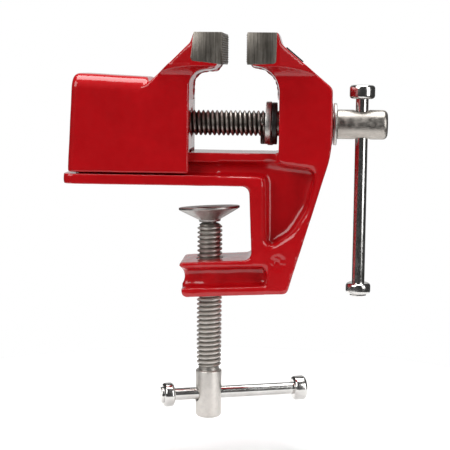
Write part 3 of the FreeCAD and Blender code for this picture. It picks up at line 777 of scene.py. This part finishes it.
screwLow, screwHigh, _ = box("main_screw")
axisUp = jointPlace("spindle_turn")[0].z
barMiddle = box("main_handle_cap")[2].x
headRadius = (screwHigh.y - screwLow.y) / 2 / mm
headEnd = screwHigh.x / mm
headStart = headEnd - mainScrew["headLong"]
threadStart = screwLow.x / mm + mainScrew["tipChamfer"]
threadEnd = threadStart + mainScrew["turns"] * thread["pitch"]
rootRadius = thread["crest"] - thread["deep"]
journal = mainScrew["journalRadius"]
alongX = pointing((1, 0, 0), (0, 0, axisUp))
shank = lathe([(threadEnd - 1.2, 0), (threadEnd - 1.2, rootRadius - 0.02),
               (threadEnd - 0.4, rootRadius), (threadEnd + 0.7, journal), (headStart + 0.2, journal),
               (headStart + 0.2, 0)], 64)
head = lathe([(headStart, 0), (headStart, headRadius, 0.5), (headEnd, headRadius, mainScrew["headRound"]),
              (headEnd, 1.2, 0.4), (headEnd - 0.25, 0)], 96)
head = drilled(joinMeshes([(head, alongX, 0)]), (barMiddle, 0, axisUp), (0, 0, 1), headRadius * 2 - 1)
mainParts = [(threadMesh(mainScrew["turns"], "mainThread"),
              alongX @ Matrix.Translation((0, 0, threadStart * mm)), 0),
             (shank, alongX, 1), (head, Matrix(), 2)]
addPiece("main_spindle", joinMeshes(mainParts), "spindle", ["mainThread", "dark", "nickel"],
         ["main_screw"], 30)

washers = {"bore": 5.05, "headSoft": 0.35, "thrustSoft": 0.3}


def washerPiece(name, node, material, soft):
    low, high, _ = box(node)
    radius = (high.y - low.y) / 2 / mm
    ring = lathe([(low.x / mm, washers["bore"]), (low.x / mm, radius, soft),
                  (high.x / mm, radius, soft), (high.x / mm, washers["bore"])], 96)
    ring.transform(alongX)
    addPiece(name, ring, "spindle", [material], [node], 30)


washerPiece("head_washer", "outer_washer", "spring", washers["headSoft"])
# the thrust washer's near-black colour is painted shade
washerPiece("thrust_washer", "inner_washer", "black", washers["thrustSoft"])

springRing = {"inner": 5.15, "gapAngle": 14.0, "rise": 1.0, "splitAt": 192.0, "soft": 0.25,
              "steps": 72}


def springMesh():
    # square wire wound one turn, its two ends apart along the screw
    low, high, _ = box("spring_washer")
    outer, inner = (high.y - low.y) / 2, springRing["inner"] * mm
    section = [(inner, low.x), (outer, low.x), (outer, high.x), (inner, high.x)]
    steps = springRing["steps"]
    sweep = full - math.radians(springRing["gapAngle"])
    start = math.radians(springRing["splitAt"] + springRing["gapAngle"] / 2)
    work = bmesh.new()
    rings = []
    for step in range(steps + 1):
        share = step / steps
        angle = start + sweep * share
        shift = springRing["rise"] * mm * (share - 0.5)
        rings.append([work.verts.new((along + shift, radius * math.sin(angle),
                                      axisUp + radius * math.cos(angle)))
                      for radius, along in section])
    for first, second in zip(rings, rings[1:]):
        for n in range(4):
            work.faces.new((first[n], first[(n + 1) % 4], second[(n + 1) % 4], second[n]))
    work.faces.new(rings[0][::-1])
    work.faces.new(rings[-1])
    bmesh.ops.recalc_face_normals(work, faces=work.faces)
    sharp = [edge for edge in work.edges if edge.calc_face_angle(0) > math.radians(50)]
    bmesh.ops.bevel(work, geom=sharp, offset=springRing["soft"] * mm, segments=2, affect="EDGES",
                    profile=0.5)
    return meshFrom(work, "spring")


addPiece("split_ring", springMesh(), "spindle", ["spring"], ["spring_washer"], 30)


def tubeMesh(points, radii, sides=20):
    # a round wire through points, with flat ends
    work = bmesh.new()
    points = [Vector(p) for p in points]
    rings = []
    reference = Vector((1, 0, 0))
    for n, point in enumerate(points):
        ahead = (points[min(n + 1, len(points) - 1)] - points[max(n - 1, 0)]).normalized()
        side = ahead.cross(reference).normalized()
        other = ahead.cross(side).normalized()
        rings.append([work.verts.new(point + (side * math.cos(full * k / sides)
                                              + other * math.sin(full * k / sides)) * radii[n])
                      for k in range(sides)])
    for first, second in zip(rings, rings[1:]):
        for k in range(sides):
            work.faces.new((first[k], first[(k + 1) % sides], second[(k + 1) % sides], second[k]))
    work.faces.new(rings[0][::-1])
    work.faces.new(rings[-1])
    bmesh.ops.recalc_face_normals(work, faces=work.faces)
    return meshFrom(work, "wire")


splitPin = {"legRadius": 1.05, "eyeTall": 1.75, "eyeWide": 0.95, "eyeLong": 1.0, "eyeRise": 1.1}


def pinMesh():
    # the pin crosses the screw, an oval eye in front and a leg bent down behind
    low, high, middle = box("cotter_pin")
    across = middle.x
    radius = splitPin["legRadius"] * mm
    drop = low.z + radius * 0.6
    bendAt = high.y - radius * 1.4
    bend = 2 * radius
    path = [(across, low.y + radius, axisUp + 1.0 * mm), (across, 0, axisUp),
            (across, bendAt - bend, axisUp - 0.7 * mm)]
    for step in range(1, 7):
        angle = step / 6 * math.pi / 2
        path.append((across, bendAt - bend + bend * math.sin(angle),
                     axisUp - 0.9 * mm - bend * (1 - math.cos(angle))))
    path.append((across, bendAt - 0.2 * mm, drop + 1.0 * mm))
    path.append((across, bendAt - 0.3 * mm, drop + 0.25 * mm))
    path.append((across, bendAt - 0.3 * mm, drop))
    radii = [radius] * (len(path) - 2) + [radius * 0.96, radius * 0.7]
    eye = bmesh.new()
    bmesh.ops.create_uvsphere(eye, u_segments=32, v_segments=18, radius=1)
    for vertex in eye.verts:
        vertex.co = Vector((vertex.co.x * splitPin["eyeWide"] * mm + across,
                            (vertex.co.y + 1) * splitPin["eyeLong"] * mm + low.y,
                            (vertex.co.z * splitPin["eyeTall"] + splitPin["eyeRise"]) * mm + axisUp))
    return joinMeshes([(tubeMesh(path, radii), Matrix(), 0), (meshFrom(eye, "eye"), Matrix(), 1)])


# one pin in two finishes: the wire's dark oiled finish is painted shade and the eye's brighter spring
# finish a painted highlight
addPiece("split_pin", pinMesh(), "spindle", ["dark", "spring"], ["cotter_pin"], 40)
print("main screw done")


# the sliding bars

def barPiece(name, node, capNode, body, place, direction, low, high):
    radius, soft = bars["radius"], bars["soft"]
    tip, knob, cap = bars["tipRadius"], bars["knobRadius"], bars["capRadius"]
    knobLow = low + bars["tipLong"]
    knobHigh = knobLow + bars["knobLong"]
    capLow = high - bars["capLong"]
    barEnd = capLow + bars["capDeep"]
    bar = lathe([(low + 0.15, 0), (low, 0.8, 0.2), (low, tip, 0.35), (knobLow, tip),
                 (knobLow, knob, soft), (knobHigh, knob, soft), (knobHigh, radius),
                 (barEnd, radius), (barEnd, 0)], 80)
    end = lathe([(capLow, radius), (capLow, cap, soft), (high, cap, soft), (high, 1.0, 0.3),
                 (high - 0.15, 0), (barEnd, 0), (barEnd, radius)], 80)
    for label, mesh, replaced in ((name, bar, node), (name + "_cap", end, capNode)):
        mesh.transform(pointing(direction, place))
        addPiece(label, mesh, body, ["nickel"], [replaced], 30)


barLow = box("main_handle_bar")[0].z / mm
barHigh = box("main_handle_cap")[1].z / mm
barPiece("handle_bar", "main_handle_bar", "main_handle_cap", "spindle_bar", (barMiddle, 0, 0),
         (0, 0, 1), barLow, barHigh)
crossWay = jointPlace("clamp_bar_slide")[1]
crossUp = box("clamp_handle_cap")[2].z
crossBar, crossCap = [frame["nodes"][node].data.vertices
                      for node in ("clamp_handle_bar", "clamp_handle_cap")]
crossLow = min(vertex.co.dot(crossWay) for vertex in crossBar) / mm
crossHigh = max(vertex.co.dot(crossWay) for vertex in crossCap) / mm
barPiece("cross_bar", "clamp_handle_bar", "clamp_handle_cap", "clamp_bar", (0, 0, crossUp), crossWay,
         crossLow, crossHigh)


# the clamp screw and its pad
clampScrew = {"turns": 32, "headLong": 19.2, "headRound": 1.5, "neckLong": 1.2, "shoulderUp": -16.1,
              "neckRadius": 4.2, "pivotRadius": 2.5, "rivetRadius": 3.8}
pad = {"tall": 6.2, "radius": 12.2, "neckRadius": 4.25, "boreRadius": 3.1, "cupRadius": 5.2,
       "cupDeep": 2.5, "lip": 1.0}

clampLow, clampHigh, _ = box("clamp_screw")
clampFoot = clampLow.z / mm
clampHeadTop = clampFoot + clampScrew["headLong"]
clampThreadLow = clampHeadTop + clampScrew["neckLong"] + 0.3
clampThreadHigh = clampThreadLow + clampScrew["turns"] * thread["pitch"]
clampTop = clampHigh.z / mm
clampHeadRadius = (clampHigh.x - clampLow.x) / 2 / mm
foot = lathe([(clampFoot + 0.2, 0), (clampFoot, 1.5, 0.4),
              (clampFoot, clampHeadRadius, clampScrew["headRound"]),
              (clampHeadTop, clampHeadRadius, 0.5),
              (clampHeadTop + 0.25, clampScrew["neckRadius"], 0.2), (clampThreadLow + 0.6, 4.0),
              (clampThreadLow + 0.6, 0)], 96)
foot = drilled(foot, (0, 0, crossUp), crossWay, clampHeadRadius * 2 - 1)
shoulder, pivot, rivet = [clampScrew[size] for size in ("shoulderUp", "pivotRadius", "rivetRadius")]
nose = lathe([(clampThreadHigh - 0.8, 0), (clampThreadHigh - 0.8, rootRadius),
              (shoulder - 0.5, rootRadius, 0.3), (shoulder, 3.4), (shoulder, pivot),
              (clampTop - 1.0, pivot), (clampTop - 1.0, rivet, 0.3), (clampTop, 3.4, 0.5),
              (clampTop, 0)], 64)
clampMesh = joinMeshes([
    (threadMesh(clampScrew["turns"], "clampThread"), Matrix.Translation((0, 0, clampThreadLow * mm)), 0),
    (foot, Matrix(), 1), (nose, Matrix(), 1)])
addPiece("clamp_spindle", clampMesh, "clamp_spindle", ["clampThread", "nickel"], ["clamp_screw"],
         30)

padMount = next(mount for mount in frame["record"]["mounts"] if mount["name"] == "pad_face")
padNeck, padBore, padCup = pad["neckRadius"], pad["boreRadius"], pad["cupRadius"]
padShape = lathe([(-pad["tall"], padBore), (-pad["tall"], padNeck, 0.4),
                  (-pad["tall"] + 0.9, padNeck + 0.1, 0.6), (-pad["lip"], pad["radius"], 0.35),
                  (0, pad["radius"], 0.35), (-0.35, pad["radius"] - 1.4, 0.5),
                  (-0.5, padCup + 0.6, 0.4), (-pad["cupDeep"], padCup), (-pad["cupDeep"], padBore)], 112)
padShape.transform(pointing(padMount["axis"], padMount["pos_m"]))
addPiece("pad", padShape, "clamp_carrier", ["bright"], ["clamp_pad"], 30)
print("clamp done")


# two nodes keep their own shape and only get a finish
for node, finish in (("label_plate", "label"), ("spindle_nut", "dark")):
    for slot in frame["nodes"][node].material_slots:
        slot.material = finishes[finish]


# the floor radius and the lamps' places and sizes are metres, their power watts
studio = {"floorRadius": 0.2, "floorDrop": 16.0, "roomGlow": 0.05,
          "lamps": [("keySoft", (-0.6, -0.6, 0.5), (0.6, 0.6), 5.8),
                    ("rightSoft", (0.75, -0.5, 0.25), (0.4, 0.8), 4.0),
                    ("topSoft", (0.0, 0.05, 0.95), (0.9, 0.7), 14.0),
                    ("backGlow", (0.0, 1.0, 0.25), (0.9, 0.9), 1.4)]}


def stageFloor():
    # a pale round floor, below the lowest that the clamp screw reaches
    work = bmesh.new()
    bmesh.ops.create_circle(work, cap_ends=True, segments=96, radius=studio["floorRadius"])
    for vertex in work.verts:
        vertex.co.z = cadLow[2] - studio["floorDrop"] * mm
    floor = linked("floor", meshFrom(work, "floor"))
    made = Finish("paleFloor", Roughness=0.9, Specular_IOR_Level=0.1)
    grain = made.noise(6, 2, 0.5)
    made.set(Base_Color=made.mixColour(grain, (0.93, 0.93, 0.93), (0.95, 0.95, 0.95)))
    floor.data.materials.append(made.material)


def areaLight(name, place, aim, size, power):
    data = bpy.data.lights.new(name, "AREA")
    data.shape = "RECTANGLE"
    data.size, data.size_y = size
    data.energy = power
    lamp = linked(name, data)
    lamp.location = place
    lamp.rotation_euler = (Vector(aim) - Vector(place)).to_track_quat("-Z", "Y").to_euler()


def makeStudio():
    stageFloor()
    middle = Vector([(cadLow[n] + cadHigh[n]) / 2 for n in range(3)])
    for name, place, size, power in studio["lamps"]:
        areaLight(name, place, middle, size, power)
    world = bpy.data.worlds.new("studio")
    bpy.context.scene.world = world
    world.use_nodes = True
    tree = world.node_tree
    back = tree.nodes["Background"]
    back.inputs[0].default_value = (1, 1, 1, 1)
    path = tree.nodes.new("ShaderNodeLightPath")
    fade = tree.nodes.new("ShaderNodeMapRange")
    fade.inputs["To Min"].default_value = studio["roomGlow"]
    fade.inputs["To Max"].default_value = 1.0
    tree.links.new(path.outputs["Is Camera Ray"], fade.inputs["Value"])
    tree.links.new(fade.outputs[0], back.inputs[1])


view = {"azimuth": 3.5, "elevation": 7.0, "distance": 520.0, "spanAcross": 180.0, "aimAcross": 6.0,
        "aimUp": -16.9, "roll": 0.6}


def makeCamera():
    azimuth, elevation = math.radians(view["azimuth"]), math.radians(view["elevation"])
    aim = Vector((view["aimAcross"], 0, view["aimUp"])) * mm
    away = Vector((math.sin(azimuth) * math.cos(elevation), -math.cos(azimuth) * math.cos(elevation),
                   math.sin(elevation)))
    data = bpy.data.cameras.new("camera")
    data.sensor_width = 36
    data.lens = data.sensor_width * view["distance"] / view["spanAcross"]
    data.clip_start = 0.01
    camera = linked("camera", data)
    camera.location = aim + away * view["distance"] * mm
    turn = (-away).to_track_quat("-Z", "Y").to_matrix()
    turn = turn @ Matrix.Rotation(math.radians(view["roll"]), 3, "Z")
    camera.rotation_euler = turn.to_euler()
    bpy.context.scene.camera = camera
    bpy.context.scene.view_settings.view_transform = "Standard"


makeStudio()
makeCamera()

print("done")
